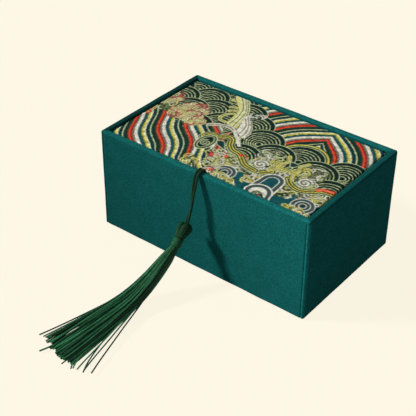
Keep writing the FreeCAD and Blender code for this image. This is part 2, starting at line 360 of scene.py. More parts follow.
# Crest, feather and cloud. Ribbons have bands of (half width, colour), patches of (depth, colour).
BARB_BANDS = ((1.5, DARK), (1.05, STRAW), (0.25, OLIVE))
CREST_BARBS = (
    ((-23.5, 26.5), (-27, 27.5), (-29.5, 27.5)),
    ((-21.5, 22), (-24, 22), (-26, 21)),
    ((-20, 19.5), (-22.5, 19), (-24, 17.5)),
    ((-20.5, 16.5), (-23, 14), (-24, 10), (-22, 7.5), (-19.5, 7.5)),
)
CREST_BANDS = ((0, OLIVE), (0.3, STRAW))
CREST = (
    (-31, 32), (-28, 34.5), (-23, 32.5), (-18, 26.5), (-14, 20), (-13.5, 16.5), (-12.5, 12), (-11, 7.5),
    (-11, 5.5), (-14.5, 5.5), (-18, 6.5), (-19, 10), (-19.5, 14.5), (-20.5, 19), (-22, 22), (-25.5, 25.5),
    (-29, 29),
)
CREST_LINE_BANDS = ((0.75, CREAM), (0.3, OLIVE))
CREST_LINES = (
    ((-28, 33), (-22.5, 27), (-19, 21.5), (-17, 14), (-16.5, 7.5)),
    ((-25.5, 33), (-20.5, 27), (-16.5, 21), (-15, 14), (-13.5, 6.5)),
    ((-22.5, 31), (-17.5, 24.5), (-14.5, 19)),
)
FEATHER_BANDS = ((0, BEIGE), (0.25, WHITE))
FEATHER = (
    (-14, 14.5), (-14.5, 18), (-13, 19.5), (-7.5, 14.5), (-3.5, 8.5),
    (-2, 4.5), (-3, 0), (-7, 2), (-10, 4.5), (-11, 8),
)
FEATHER_LINE_BANDS = ((0.28, BEIGE),)
FEATHER_LINES = (
    ((-13, 16), (-9, 11), (-7.5, 6), (-7, 3)),
    ((-13, 18), (-8, 12), (-5, 5.5), (-4.5, 1)),
    ((-12, 18.5), (-6.5, 12), (-3.5, 6.5), (-3, 3)),
)
CLOUD_BANDS = ((1.4, BEIGE), (1.1, WHITE), (0.4, BEIGE))
CLOUD = ((-24, 0.3), (-20.5, 3), (-16.5, 4.5), (-13, 4.5), (-10, 3))
CLOUD_TAIL_BANDS = ((0.8, WHITE),)
CLOUD_TAIL = ((-10, 3), (-5.5, -1), (-0.5, -6))

# Ruyi head, its ribbon and the dots
RUYI = (-15.0, -13.2, 4.7, 7.3)
RUYI_BANDS = ((0, PALE), (0.55, DARK), (1.4, PALE), (1.85, DARK))
RUYI_SPIRAL = (-14.6, -13.8, 2.9, 2.0, 1.8)
RUYI_SPIRAL_BANDS = ((0.24, PALE),)
RUYI_LEAF = ((-11.5, -9), (-9, -7.2), (-7, -8.3), (-5, -11), (-3, -13.5), (-7, -12.8), (-10, -11.5))
RUYI_LEAF_BANDS = ((0, PALE), (0.45, TEAL))
RUYI_RIBBON = (
    (-19.3, -10), (-18.5, -7), (-16, -5.6), (-13.2, -6.2), (-11.2, -4.2), (-8.5, -2.8), (-6, -4.2), (-4, -8),
    (-0.5, -11), (4, -12), (8, -15), (12, -18), (18, -19),
)
RIBBON_BANDS = ((2.1, PALE), (1.75, DARK), (1.0, YELLOW), (0.4, DARK))
RED_DOTS = ((1.5, -31), (-6, -20), (5.5, -12.5), (0.5, -17.5))
DOT_RADIUS = 1.0

# Mirrored group on the right, as distances from the mirror line
BORDER = ((4.5, -15), (8, -18), (13, -19.4), (18, -17.2), (21.5, -14), (27, -12.8))
BORDER_END = ((20.0, -14.2), (22.5, -12.2), (26.5, -11.6))
BORDER_END_BANDS = ((1.1, RED), (0.5, ORANGE))
SCROLL = (12.3, -13.0)
SCROLL_SHAPE = (3.6, 1.6, 0.5)
SCROLL_BANDS = ((0.85, GREEN), (0.5, WHITE))
ANTLER = ((5.5, 1.0), (3.4, -3.0), (5.0, -7.0), (4.6, -11), (6.5, -15))
ANTLER_BANDS = ((1.3, GREEN), (1.0, YELLOW), (0.4, GREEN), (0.2, CREAM))
TRIANGLE = ((-3.2, -2.0), (3.2, -2.0), (1.6, -5.0), (0, -6.8), (-1.6, -5.0))
TRIANGLE_BANDS = ((0, PALE), (0.4, TEAL))
BAR = ((-5, -9.6), (5, -9.6))
BAR_BANDS = ((0.9, YELLOW), (0.3, OLIVE))
ARCHES = ((-15.0, -36.0, 6.0, WATER), (-25.5, -46.0, 7.0, WHITE))
ARCH_BANDS = ((0, WHITE), (0.7, NAVY), (2.6, WHITE))
ARCH_CORE = 3.0
ARCH_SPLAY = 1.15
ARCH_POINTS = 13
ROCK = (21.5, -28.5)
ROCK_RADIUS = 5.8
ROCK_BANDS = ((0, WHITE), (0.5, NAVY), (2.1, WHITE), (2.5, NAVY), (3.9, WHITE), (4.3, TEAL))
WATER_OUTLINE = ((-1, -18), (12, -19), (29, -20), (48, -19), (72, -18), (72, -48), (2, -48), (0, -36))
SPIRAL_POINTS = 24
SPIRAL_CLOSE = 0.86

# Tufts of curled threads: middle, half width and height, ground and the curls' colours
CURLS_TO_AREA = 1.25
CURL_THREAD = 0.32
CURL_EDGE = 0.16
CURL_SIZES = (0.9, 2.6)
CURL_SWEEPS = (110.0, 230.0)
CURL_POINTS = 8
TUFT_EDGE = 0.4
TUFT_FILL = 0.9
OVAL_POINTS = 48
OVAL_LOBES = ((7, 1.0), (4, 0.6))
OVAL_WAVER = 0.08
LEFT_SEED = 60
LEFT_TUFTS = (
    (-10.2, 22.0, 2.6, 4.0, NAVY, (WHITE, GREEN)),
    (-56.0, 9.5, 6.0, 6.8, BLUSH, (STRAW, PINK, PALE, BLUSH)),
    (-57.0, -5.5, 2.4, 4.8, ORANGE, (RED, BLUSH)),
    (-51.5, 1.0, 3.4, 2.4, GREEN, (PALE, OLIVE)),
    (-42.5, 1.5, 6.2, 5.6, BLUSH, (STRAW, PINK, BLUSH)),
    (-31.5, -0.5, 5.0, 4.4, BLUSH, (STRAW, PINK, BLUSH)),
    (-38.5, 6.8, 8.0, 7.4, BLUSH, (STRAW, PINK, CREAM, BLUSH)),
    (-34.5, 0.5, 5.2, 5.4, STRAW, (BLUSH, STRAW, PINK, CREAM)),
)
FRONT_SEED = 80
FRONT_TUFTS = (
    (3.5, -15.5, 5.4, 3.8, GREEN, (PALE, OLIVE, STRAW)),
    (-5.0, -19.0, 5.0, 3.8, GREEN, (WHITE, STRAW, PINK, PALE)),
    (-0.5, -26.0, 4.6, 4.6, GREEN, (WHITE, STRAW, PALE)),
    (-11.0, -31.5, 4.2, 4.8, OLIVE, (STRAW, WHITE, GREEN, YELLOW)),
    (1.5, -34.0, 3.6, 4.0, GREEN, (STRAW, WHITE, PINK)),
)
PAIR_SEEDS = {-1: 90, 1: 110}
SHORE_SEEDS = {-1: 129, 1: 131}
SHORE_TUFT = (20.5, -36.5, 8.4, 5.8, OLIVE, (YELLOW, STRAW, WHITE, YELLOW))
PAIR_TUFTS = (
    (11.5, -4.0, 5.8, 4.8, GREEN, (PALE, WHITE, OLIVE, BEIGE)),
    (6.8, -7.5, 3.2, 5.0, GREEN, (STRAW, YELLOW, PALE)),
    (9.0, -23.5, 4.0, 5.0, OLIVE, (STRAW, YELLOW, WHITE, GREEN)),
    (17.5, -21.0, 4.0, 3.4, GREEN, (WHITE, PALE, BEIGE)),
    (25.5, -19.5, 3.8, 5.4, GREEN, (STRAW, WHITE, YELLOW)),
    (12.3, -13.0, 5.0, 4.0, GREEN, (WHITE, STRAW, PALE)),
    SHORE_TUFT,
    (3.0, -13.5, 3.4, 3.0, BEIGE, (WHITE, STRAW, NAVY)),
)
DOOR_SEED = 140
DOOR_TUFT = (MIRROR_X, -35.0, 3.2, 2.6, WHITE, (PINK, OLIVE, GREEN))


# Small tools


def node_box(name):
    """Lowest and highest corner of a CAD node, in millimetres."""
    low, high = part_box(name)
    return np.array(low) / MM, np.array(high) / MM


def unit(rows):
    """Directions made one long."""
    return rows / np.linalg.norm(rows, axis=-1, keepdims=True)


def run_along(points):
    """Distance of each point from the first, along the path."""
    return np.concatenate([[0], np.cumsum(np.linalg.norm(np.diff(points, axis=0), axis=1))])


def ripple(x, y, size, seed):
    """A smooth uneven pattern, mostly between -1 and 1, with bumps about size across."""
    draws = np.random.default_rng(seed)
    total = np.zeros_like(x)
    for _ in range(RIPPLE_WAVES):
        angle, phase = draws.uniform(0, TURN, 2)
        pitch = TURN / (size * draws.uniform(*RIPPLE_PITCHES))
        total += np.sin(pitch * (x * math.cos(angle) + y * math.sin(angle)) + phase)
    return total / math.sqrt(RIPPLE_WAVES)


def smooth_path(points, steps=PATH_STEPS, closed=False):
    """Points on a curve that passes through all the given ones."""
    points = np.asarray(points, float)
    if closed:
        ring = np.vstack([points[-1:], points, points[:2]])
    else:
        ring = np.vstack([2 * points[:1] - points[1:2], points, 2 * points[-1:] - points[-2:-1]])
    share = np.linspace(0, 1, steps, endpoint=False)[:, None]
    spans = []
    for a, b, c, d in zip(ring, ring[1:], ring[2:], ring[3:]):
        bend = 2 * b + (c - a) * share + (2 * a - 5 * b + 4 * c - d) * share**2
        spans.append((bend + (3 * b - a - 3 * c + d) * share**3) / 2)
    if not closed:
        spans.append(points[-1:])
    return np.vstack(spans)


def polar(middle, reach, angle):
    """Points round a middle, from their reach and angle."""
    return np.array(middle) + np.transpose(reach * np.array([np.cos(angle), np.sin(angle)]))


def arc(middle, radius, start, end, count=ARC_POINTS):
    """Points on an arc between two angles in degrees."""
    return polar(middle, radius, np.radians(np.linspace(start, end, count)))


def grid_faces(rows, columns, closed=False, first=0):
    """Quads over a grid of vertices stored row by row."""
    number = np.arange(rows * columns).reshape(rows, columns) + first
    if closed:
        number = np.column_stack([number, number[:, 0]])
    corners = [number[:-1, :-1], number[:-1, 1:], number[1:, 1:], number[1:, :-1]]
    return np.stack(corners, axis=-1).reshape(-1, 4)


def perimeter(rows, columns):
    """Vertex numbers round the edge of a grid."""
    index = np.arange(rows * columns).reshape(rows, columns)
    return np.concatenate([index[:-1, 0], index[-1, :-1], index[:0:-1, -1], index[0, :0:-1]])


def add_object(name, data):
    made = bpy.data.objects.new(name, data)
    bpy.context.scene.collection.objects.link(made)
    return made


def make_piece(name, points, faces, material, sharp=40):
    """A mesh object from points in millimetres, with its faces turned outwards."""
    mesh = bpy.data.meshes.new(name)
    mesh.from_pydata((np.asarray(points) * MM).tolist(), [], [list(map(int, face)) for face in faces])
    work = bmesh.new()
    work.from_mesh(mesh)
    bmesh.ops.recalc_face_normals(work, faces=work.faces)
    work.to_mesh(mesh)
    work.free()
    mesh.polygons.foreach_set("use_smooth", [True] * len(mesh.polygons))
    mesh.set_sharp_from_angle(angle=math.radians(sharp))
    mesh.materials.append(material)
    mesh.validate()
    return add_object(name, mesh)


def shell(name, outer, inner, material, closed=False):
    """A skin between two grids of points, with the gap at their edges filled."""
    rows, columns = outer.shape[:2]
    total = rows * columns
    faces = [grid_faces(rows, columns, closed), grid_faces(rows, columns, closed, total)[:, ::-1]]
    ends = np.arange(total).reshape(rows, columns)[[0, -1]]
    for edge in ends if closed else [perimeter(rows, columns)]:
        beside = np.roll(edge, -1)
        faces.append(np.stack([edge, beside, beside + total, edge + total], axis=1))
    points = np.vstack([outer.reshape(-1, 3), inner.reshape(-1, 3)])
    return make_piece(name, points, np.vstack(faces), material)


def paint_vertices(piece, layer, colours):
    """Stores a colour or a shade for each vertex, or one for them all."""
    rgba = np.ones((len(piece.data.vertices), 4), np.float32)
    rgba[:, :3] = colours
    piece.data.color_attributes.new(layer, "FLOAT_COLOR", "POINT").data.foreach_set("color", rgba.ravel())


def finish_node(name, material):
    """Gives a CAD node a material in place of its plain one."""
    mesh = bpy.data.objects[name].data
    mesh.materials.clear()
    mesh.materials.append(material)


def seat(piece, body, node):
    """Puts a piece on a body, in place of a CAD node."""
    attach(piece, body)
    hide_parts(node)
    return piece


# Materials


def add_node(tree, kind, inputs=None, output=0, **settings):
    """An output of a new shader node, whose inputs are linked to sockets or set to constants."""
    made = tree.nodes.new("ShaderNode" + kind)
    for name, value in settings.items():
        setattr(made, name, value)
    for name, value in (inputs or {}).items():
        if isinstance(value, bpy.types.NodeSocket):
            tree.links.new(value, made.inputs[name])
        else:
            made.inputs[name].default_value = value
    return made.outputs[output] if made.outputs else None


class Surface:
    """A material in the making. Its layers are multiplied, and the last texture is its relief."""

    def __init__(self, name, roughness, gloss, sheen=0.0, sheen_roughness=0.5):
        self.material = bpy.data.materials.new(name)
        self.material.use_nodes = True
        self.tree = self.material.node_tree
        self.shader = self.tree.nodes["Principled BSDF"].inputs
        self.shader["Roughness"].default_value = roughness
        self.shader["Specular IOR Level"].default_value = gloss
        self.shader["Sheen Weight"].default_value = sheen
        self.shader["Sheen Roughness"].default_value = sheen_roughness
        self.place = add_node(self.tree, "TexCoord", output="Object")
        self.colour = None
        self.height = None

    def tint(self, colour):
        """Multiplies the colour by one more layer."""
        if self.colour is not None:
            layers = {0: 1.0, 6: self.colour, 7: colour}
            colour = add_node(self.tree, "Mix", layers, 2, data_type="RGBA", blend_type="MULTIPLY")
        self.colour = colour

    def painted(self, layer):
        """Adds the colours that are stored on the piece's vertices."""
        self.tint(add_node(self.tree, "VertexColor", layer_name=layer))

    def texture(self, size, stops, stretch=(1, 1, 1), detail=3.0, kind="Noise"):
        """Adds bumps about size millimetres across, coloured by stops of (level, colour)."""
        drawn = add_node(self.tree, "VectorMath", {0: self.place, 1: stretch}, operation="MULTIPLY")
        inputs = {"Vector": drawn, "Scale": 1 / (size * MM), "Detail": detail}
        self.height = add_node(self.tree, "Tex" + kind, inputs)
        ramp = add_node(self.tree, "ValToRGB", {"Fac": self.height})
        elements = ramp.node.color_ramp.elements
        for number, (level, colour) in enumerate(stops):
            element = elements[number] if number < len(elements) else elements.new(level)
            element.position = level
            element.color = (*colour, 1)
        self.tint(ramp)

    def weave(self, pitch, share):
        """Adds a plain weave to the relief, for faces that lie along the axes."""
        pitched = {0: self.place, "Scale": TURN / (pitch * MM)}
        turns = add_node(self.tree, "VectorMath", pitched, operation="SCALE")
        waves = add_node(self.tree, "VectorMath", {0: turns}, operation="SINE")
        shares = {0: waves, 1: grey(share / 3)}
        woven = add_node(self.tree, "VectorMath", shares, "Value", operation="DOT_PRODUCT")
        self.height = add_node(self.tree, "Math", {0: self.height, 1: woven}, operation="ADD")

    def finish(self, depth, strength):
        inputs = {"Height": self.height, "Distance": depth * MM, "Strength": strength}
        self.tree.links.new(add_node(self.tree, "Bump", inputs), self.shader["Normal"])
        self.tree.links.new(self.colour, self.shader["Base Color"])
        return self.material


def wrap_cloth_material():
    """Fine matte teal cloth, a little mottled. Painted shade on its short rims, painted light on its front
    wall and paler upright edges are painted on.
    """
    surface = Surface("wrap_cloth", roughness=0.9, gloss=0.03)
    surface.texture(size=5.0, stops=[(0.25, (0.0052, 0.106, 0.098)), (0.75, (0.0079, 0.126, 0.118))])
    surface.texture(size=0.8, stops=[(0.3, grey(0.64)), (0.7, grey(1.28))])
    surface.painted("Shade")
    surface.weave(pitch=0.5, share=0.6)
    return surface.finish(depth=0.06, strength=0.35)


def greyboard_material():
    surface = Surface("greyboard", roughness=0.9, gloss=0.1)
    fibres = [(0.3, (0.3, 0.28, 0.25)), (0.5, (0.44, 0.42, 0.38)), (0.75, (0.56, 0.53, 0.48))]
    surface.texture(size=0.5, stops=fibres, stretch=(0.3, 1, 1))
    return surface.finish(depth=0.08, strength=0.4)


def bottom_paper_material():
    surface = Surface("bottom_paper", roughness=0.75, gloss=0.25)
    surface.texture(size=0.9, stops=[(0.3, (0.008, 0.045, 0.042)), (0.7, (0.014, 0.07, 0.064))])
    return surface.finish(depth=0.05, strength=0.4)


def lining_material():
    """Short-napped flannel with brushed patches."""
    surface = Surface("lining_flannel", roughness=0.95, gloss=0.08, sheen=0.35, sheen_roughness=0.35)
    surface.texture(size=7.0, stops=[(0.3, (0.46, 0.34, 0.17)), (0.7, (0.6, 0.46, 0.25))])
    surface.texture(size=0.6, stops=[(0.3, grey(0.8)), (0.7, grey(1.1))])
    return surface.finish(depth=0.12, strength=0.6)


def foam_material():
    surface = Surface("foam", roughness=0.95, gloss=0.1)
    cells = [(0.1, (0.42, 0.4, 0.35)), (0.5, (0.72, 0.7, 0.63))]
    surface.texture(size=0.7, stops=cells, detail=0.0, kind="Voronoi")
    return surface.finish(depth=0.2, strength=0.6)


def brocade_material():
    """Woven silk: the motifs' colours, broken up by their threads."""
    surface = Surface("brocade", roughness=0.6, gloss=0.03)
    surface.painted("Thread")
    threads = [(0.3, grey(0.62)), (0.62, grey(1.12))]
    surface.texture(size=0.55, stops=threads, stretch=(0.35, 1, 1), detail=2.0)
    surface.weave(pitch=0.45, share=0.5)
    return surface.finish(depth=0.16, strength=0.7)


def silk_material(name, dark, light, pitch):
    """Twisted silk thread. The shade of each strand is painted on."""
    surface = Surface(name, roughness=0.6, gloss=0.1)
    surface.texture(size=1.4, stops=[(0.3, dark), (0.7, light)], stretch=(1, 0.25, 1))
    surface.texture(size=pitch, stops=[(0.3, grey(0.7)), (0.7, grey(1.15))])
    surface.painted("Shade")
    return surface.finish(depth=0.1, strength=0.5)


# Wrap


def straight_shares(half_length):
    """Places along a straight side from -1 to 1, close together near its ends where the folds are."""
    near = np.arange(FOLD_STEP, FOLD_REACH, FOLD_STEP)
    reach = half_length - FOLD_REACH
    middle = np.linspace(-reach, reach, int(2 * half_length / WALL_STEP))
    return np.concatenate([near - half_length, middle, (half_length - near)[::-1]]) / half_length


def outline(half, radius, shares):
    """Points and outward normals round a rounded rectangle, as many for every size."""
    points = []
    normals = []
    bend = arc((0, 0), 1, -90, 0, CORNER_POINTS)
    for turn in range(4):
        out, along = half[turn % 2], half[1 - turn % 2] - radius
        share = shares[1 - turn % 2]
        straight = np.column_stack([np.full(len(share), out), share * along])
        spin = np.linalg.matrix_power([[0, 1], [-1, 0]], turn)
        points.append(np.vstack([(out - radius, -along) + radius * bend, straight]) @ spin)
        normals.append(np.vstack([bend, np.tile((1, 0), (len(share), 1))]) @ spin)
    return np.vstack(points), np.vstack(normals)


def wrap_profile(top, foot, ledge):
    """The wrap's section: distance from the wall's face and height, from under the box to inside the rim."""
    inside = RIM_ROUND - RIM_WIDTH
    flat = np.linspace((-WRAP_TURN_UNDER, foot), (-2 * FOOT_ROUND, foot), SHORT_POINTS)
    heel = arc((-FOOT_ROUND, foot + FOOT_ROUND), FOOT_ROUND, -90, 0)
    wall = np.linspace((0, foot + 2 * FOOT_ROUND), (0, top - 2 * RIM_ROUND), WALL_POINTS)
    outer = arc((-RIM_ROUND, top - RIM_ROUND), RIM_ROUND, 0, 90)
    crest = np.linspace((-RIM_ROUND, top), (inside, top), RIM_POINTS)[1:-1]
    inner = arc((inside, top - RIM_ROUND), RIM_ROUND, 90, 180)
    lip = np.linspace((-RIM_WIDTH, top - 1.5 * RIM_ROUND), (-RIM_WIDTH, ledge), SHORT_POINTS)
    return np.vstack([flat, heel, wall, outer, crest, inner, lip])


def profile_normals(profile):
    along = unit(np.gradient(profile, axis=0))
    return np.column_stack([along[:, 1], -along[:, 0]])


def ridge(distance, half_width):
    return np.exp(-((distance / half_width) ** 2))


def wrap_relief(points, high):
    """Seams beside the upright edges, folds across the rim's corners and the cloth's slight unevenness."""
    x, y, z = points.T
    gap_x, gap_y = (high[:2] - np.abs(points[:, :2])).T
    rim_start = high[2] - RIM_ROUND
    on_long_wall = (gap_y < WRAP_CORNER / 2) & (z < rim_start)
    seam = ridge(gap_x - SEAM_FROM_EDGE, SEAM_HALF_WIDTH) * on_long_wall
    bow = MITRE_BOW * np.sin(math.pi * np.clip(gap_x / RIM_WIDTH, 0, 1))
    from_fold = gap_x - gap_y - bow
    fold = ridge(from_fold, MITRE_HALF_WIDTH)
    lip = ridge(from_fold - LIP_OFFSET, LIP_HALF_WIDTH)
    in_corner = np.maximum(gap_x, gap_y) < RIM_WIDTH + MITRE_REACH
    on_rim = np.clip((z - rim_start) / RIM_ROUND, 0, 1)
    mitre = (MITRE_LIP * lip - fold) * on_rim * in_corner
    return MITRE_DEPTH * mitre - SEAM_DEPTH * seam + CLOTH_WAVER * ripple(x + y, z, *WRAP_WAVER)


def wrap_shade(points, high):
    """How much darker or paler the cloth is: painted shade on the short rims, painted light on the front
    wall, paler upright edges.
    """
    x, y, z = points.T
    gap_x, gap_y = (high[:2] - np.abs(points[:, :2])).T
    on_rim = np.clip(2 - (high[2] - z) / RIM_ROUND, 0, 1)
    # Painted shade: the short rims are darker, the left one more than the right.
    short_rim = (gap_x < gap_y) & (gap_x < RIM_WIDTH + PAINTED_SHADE_REACH)
    rim_shade = np.where(x < 0, LEFT_RIM_PAINTED_SHADE, RIGHT_RIM_PAINTED_SHADE)
    shade = np.where(short_rim, 1 + (rim_shade - 1) * on_rim, 1)
    # The cloth is paler on its upright edges.
    at_edge = np.maximum(gap_x, gap_y) < WRAP_CORNER
    bend = np.hypot(WRAP_CORNER - gap_x, WRAP_CORNER - gap_y) / WRAP_CORNER
    paled = at_edge * np.clip(bend, 0, 1) * (1 - on_rim)
    # Painted light: the front wall grows lighter towards its right end and towards its top.
    on_front = np.clip(1 - (high[1] + y) / RIM_WIDTH, 0, 1)
    painted_light = on_front * (FRONT_PAINTED_LIGHT * x / high[0] + TOP_PAINTED_LIGHT * (2 * z / high[2] - 1))
    return shade * (1 + (EDGE_PALING - 1) * paled) * (1 + painted_light)


def make_wrap(material):
    low, high = node_box("outer_wrap")
    ledge = node_box("back_lining")[1][2]
    profile = wrap_profile(high[2], low[2], ledge)
    normals = profile_normals(profile)
    shares = [straight_shares(half - WRAP_CORNER) for half in high[:2]]
    skins = []
    for inset in (0.0, WRAP_THICKNESS):
        rings = []
        for (offset, z), (out, up) in zip(profile - inset * normals, normals):
            radius = max(WRAP_CORNER + offset, TIGHTEST_CORNER)
            flat, sideways = outline(high[:2] + offset, radius, shares)
            level = np.ones(len(flat))
            ring = np.column_stack([flat, z * level])
            if inset == 0.0:
                push = np.column_stack([sideways * out, up * level])
                ring = ring + push * wrap_relief(ring, high)[:, None]
            rings.append(ring)
        skins.append(np.array(rings))
    piece = shell("wrap_cloth_skin", *skins, material, True)
    paint_vertices(piece, "Shade", wrap_shade(np.vstack(skins).reshape(-1, 3), high)[:, None])
    seat(piece, "box", "outer_wrap")


# Sheets and pads


def strip_shell(name, path, thickness, low, high, axis, material, side=1):
    """A strip of cloth: a path across an axis and upwards, thickened and drawn out along the axis."""
    normals = profile_normals(path)
    runs = np.linspace(low[axis], high[axis], max(int((high[axis] - low[axis]) / STRIP_STEP), 2))
    run, sums = np.meshgrid(runs, path.sum(axis=1), indexing="ij")
    uneven = CLOTH_WAVER * ripple(run, sums, *STRIP_WAVER)
    skins = []
    for lift in (uneven, np.full_like(run, -thickness)):
        across, height = np.moveaxis(path + normals * lift[..., None], -1, 0)
        places = [run, side * across] if axis == 0 else [side * across, run]
        skins.append(np.stack([*places, height], axis=-1))
    return shell(name, *skins, material)


def pad_places(low, high):
    near = PAD_EDGE * np.array(PAD_EDGE_SHARES)
    middle = np.linspace(low + PAD_EDGE, high - PAD_EDGE, int((high - low) / PAD_STEP) + 2)[1:-1]
    return np.concatenate([low + near, middle, (high - near)[::-1]])


def pad_shell(name, low, high, material, crown=0.0, facing=1):
    """A flat pad with a rounded, slightly uneven face, up or down."""
    x, y = np.meshgrid(pad_places(low[0], high[0]), pad_places(low[1], high[1]), indexing="ij")
    inset = np.minimum.reduce([x - low[0], high[0] - x, y - low[1], high[1] - y])
    near = np.clip(inset, 0, PAD_EDGE)
    drop = PAD_EDGE - np.sqrt(np.maximum(PAD_EDGE**2 - (PAD_EDGE - near) ** 2, 0))
    middle = (low + high) / 2
    corner = (high - middle)[:2]
    spread = ((x - middle[0]) ** 2 + (y - middle[1]) ** 2) / (corner @ corner)
    sunk = drop + crown * spread + CLOTH_WAVER * (1 + ripple(x, y, *PAD_WAVER)) * near / PAD_EDGE
    face, base = (high[2] - sunk, low[2]) if facing > 0 else (low[2] + sunk, high[2])
    skins = [np.stack([x, y, np.broadcast_to(z, x.shape)], axis=-1) for z in (face, base)]
    return shell(name, *skins, material)


def make_flat_lining(node, body, material, facing=1):
    low, high = node_box(node)
    piece = pad_shell(node + "_flannel", low, high, material, facing=facing)
    seat(piece, body, node)


def make_wall_lining(node, side, axis, material):
    """Flannel on a wall, drawn out along an axis. On the long walls it is turned over the ledge."""
    low, high = node_box(node)
    face, rear = sorted((abs(low[1 - axis]), abs(high[1 - axis])))
    top = high[2]
    cut = top - low[2]
    if axis == 0:
        rise = np.linspace((-face, low[2]), (-face, top - 2 * LEDGE_ROUND), LINING_POINTS)
        turned = arc((-face - LEDGE_ROUND, top - LEDGE_ROUND), LEDGE_ROUND, 0, 90)
        shelf = np.linspace((-face - 2 * LEDGE_ROUND, top), (-rear, top), SHELF_POINTS)
        path = np.vstack([rise, turned, shelf])
        cut += rear - face
    else:
        path = np.linspace((-face, low[2]), (-face, top), LINING_POINTS)
    piece = strip_shell(node + "_flannel", path, LINING, low, high, axis, material, -side)
    seat(piece, "box", node)


def make_linings(material):
    for axis, walls in enumerate((("front", "back"), ("left", "right"))):
        for side, wall in zip((-1, 1), walls):
            make_wall_lining(f"{wall}_lining", side, axis, material)
    make_flat_lining("floor_lining", "box", material)


def make_pads(foam, flannel):
    for node, body, crown in (("floor_pad", "box", 0.0), ("lid_padding", "lid", LID_CROWN)):
        piece = pad_shell(node + "_foam", *node_box(node), foam, crown)
        seat(piece, body, node)
    make_flat_lining("lid_lining", "lid", flannel, -1)


def make_hinge(material):
    """One strip of cloth: up the back wall, over the fold and down the lid's back edge. It is painted darker,
    a painted shade for the gap between box and lid.
    """
    low, high = node_box("hinge_wall_leaf")
    lid_low = node_box("hinge_lid_leaf")[0]
    radius = (high[1] - lid_low[1]) / 2
    middle = (high[1] + lid_low[1]) / 2
    shoulder = high[2] - radius
    up = np.linspace((high[1], low[2]), (high[1], shoulder), SHORT_POINTS)[:-1]
    over = arc((middle, shoulder), radius, 0, 180, HINGE_POINTS)
    down = np.linspace((lid_low[1], shoulder), lid_low[1:], SHORT_POINTS)[1:]
    path = np.vstack([up, over, down])
    piece = strip_shell("hinge_cloth_strip", path, HINGE_CLOTH, low, high, 0, material)
    # Painted shade for the gap at the hinge.
    paint_vertices(piece, "Shade", HINGE_PAINTED_SHADE)
    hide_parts("hinge_wall_leaf", "hinge_lid_leaf")
    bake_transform(piece)


# Threads and cords


def path_frames(points):
    """Two crosswise directions at each point of a path, with no twist."""
    forward = unit(np.gradient(points, axis=0))
    side = np.cross(forward[0], ASKEW)
    sides = []
    for direction in forward:
        side = unit(side - direction * side.dot(direction))
        sides.append(side)
    return np.array(sides), np.cross(forward, sides)


def tube(points, radii, sides=TUBE_SIDES):
    """Vertices and faces of a closed tube round a path."""
    across, up = path_frames(points)
    circle = arc((0, 0), 1, 0, 360, sides + 1)[:-1]
    ring = circle[None, :, :1] * across[:, None] + circle[None, :, 1:] * up[:, None]
    radii = np.broadcast_to(radii, len(points))
    vertices = (points[:, None] + radii[:, None, None] * ring).reshape(-1, 3)
    ends = np.arange(len(vertices)).reshape(-1, sides)[[0, -1]]
    faces = grid_faces(len(points), sides, True).tolist()
    return vertices, faces + [ends[0].tolist(), ends[1, ::-1].tolist()]


def make_threads(name, tubes, shade, material, body, node):
    """A piece of silk made of tubes."""
    firsts = np.cumsum([0] + [len(points) for points, _ in tubes])
    faces = []
    for first, (_, sides) in zip(firsts, tubes):
        faces += [[corner + first for corner in side] for side in sides]
    piece = make_piece(name, np.vstack([points for points, _ in tubes]), faces, material)
    paint_vertices(piece, "Shade", shade)
    return seat(piece, body, node)


def rope(points, diameter):
    """Tubes of the strands that are twisted round a path."""
    across, up = path_frames(points)
    tubes = []
    for strand in range(ROPE_STRANDS):
        angle = TURN * (run_along(points) / ROPE_PITCH + strand / ROPE_STRANDS)
        twist = np.cos(angle)[:, None] * across + np.sin(angle)[:, None] * up
        tubes.append(tube(points + diameter * ROPE_OFFSET * twist, diameter * ROPE_STRAND))
    return tubes


def route_points(points):
    """Points read from the NURBS spline that has the route's points as its control points."""
    curve = bpy.data.curves.new("route", "CURVE")
    curve.dimensions = "3D"
    curve.resolution_u = ROUTE_RESOLUTION
    spline = curve.splines.new("NURBS")
    spline.points.add(len(points) - 1)
    for place, point in zip(spline.points, points):
        place.co = (*point, 1)
    spline.order_u = ROUTE_ORDER
    spline.use_endpoint_u = True
    holder = bpy.data.objects.new("route", curve)
    mesh = bpy.data.meshes.new_from_object(holder)
    found = np.array([vertex.co[:] for vertex in mesh.vertices])
    bpy.data.meshes.remove(mesh)
    bpy.data.objects.remove(holder)
    bpy.data.curves.remove(curve)
    return found


def cord_route(side):
    """One leg of the doubled cord, from the lid's front edge to the tassel's head."""
    points = []
    for x, y, z, half, turn in CORD_ROUTE:
        angle = math.radians(turn)
        points.append((x + side * half * math.cos(angle), y + side * half * math.sin(angle), z))
    return points


def make_cords(material):
    for name, side in (("left", -1), ("right", 1)):
        points = route_points(cord_route(side))
        tubes = rope(points, CORD_DIAMETER)
        piece = make_threads(f"cord_leg_{name}", tubes, CORD_SHADE, material, "tassel", f"tassel_cord_{name}")
    low, high = node_box("cord_tails")
    height = (low[2] + high[2]) / 2
    tubes = []
    apart = CORD_ROUTE[0][3]
    for x in (-apart, apart):
        points = np.linspace((x, low[1], height), (x, high[1], height), TAIL_POINTS)
        tubes += rope(points, CORD_DIAMETER * TAIL_SQUEEZE)
    make_threads("cord_tails_glued", tubes, CORD_SHADE, material, "lid", "cord_tails")


# Tassel


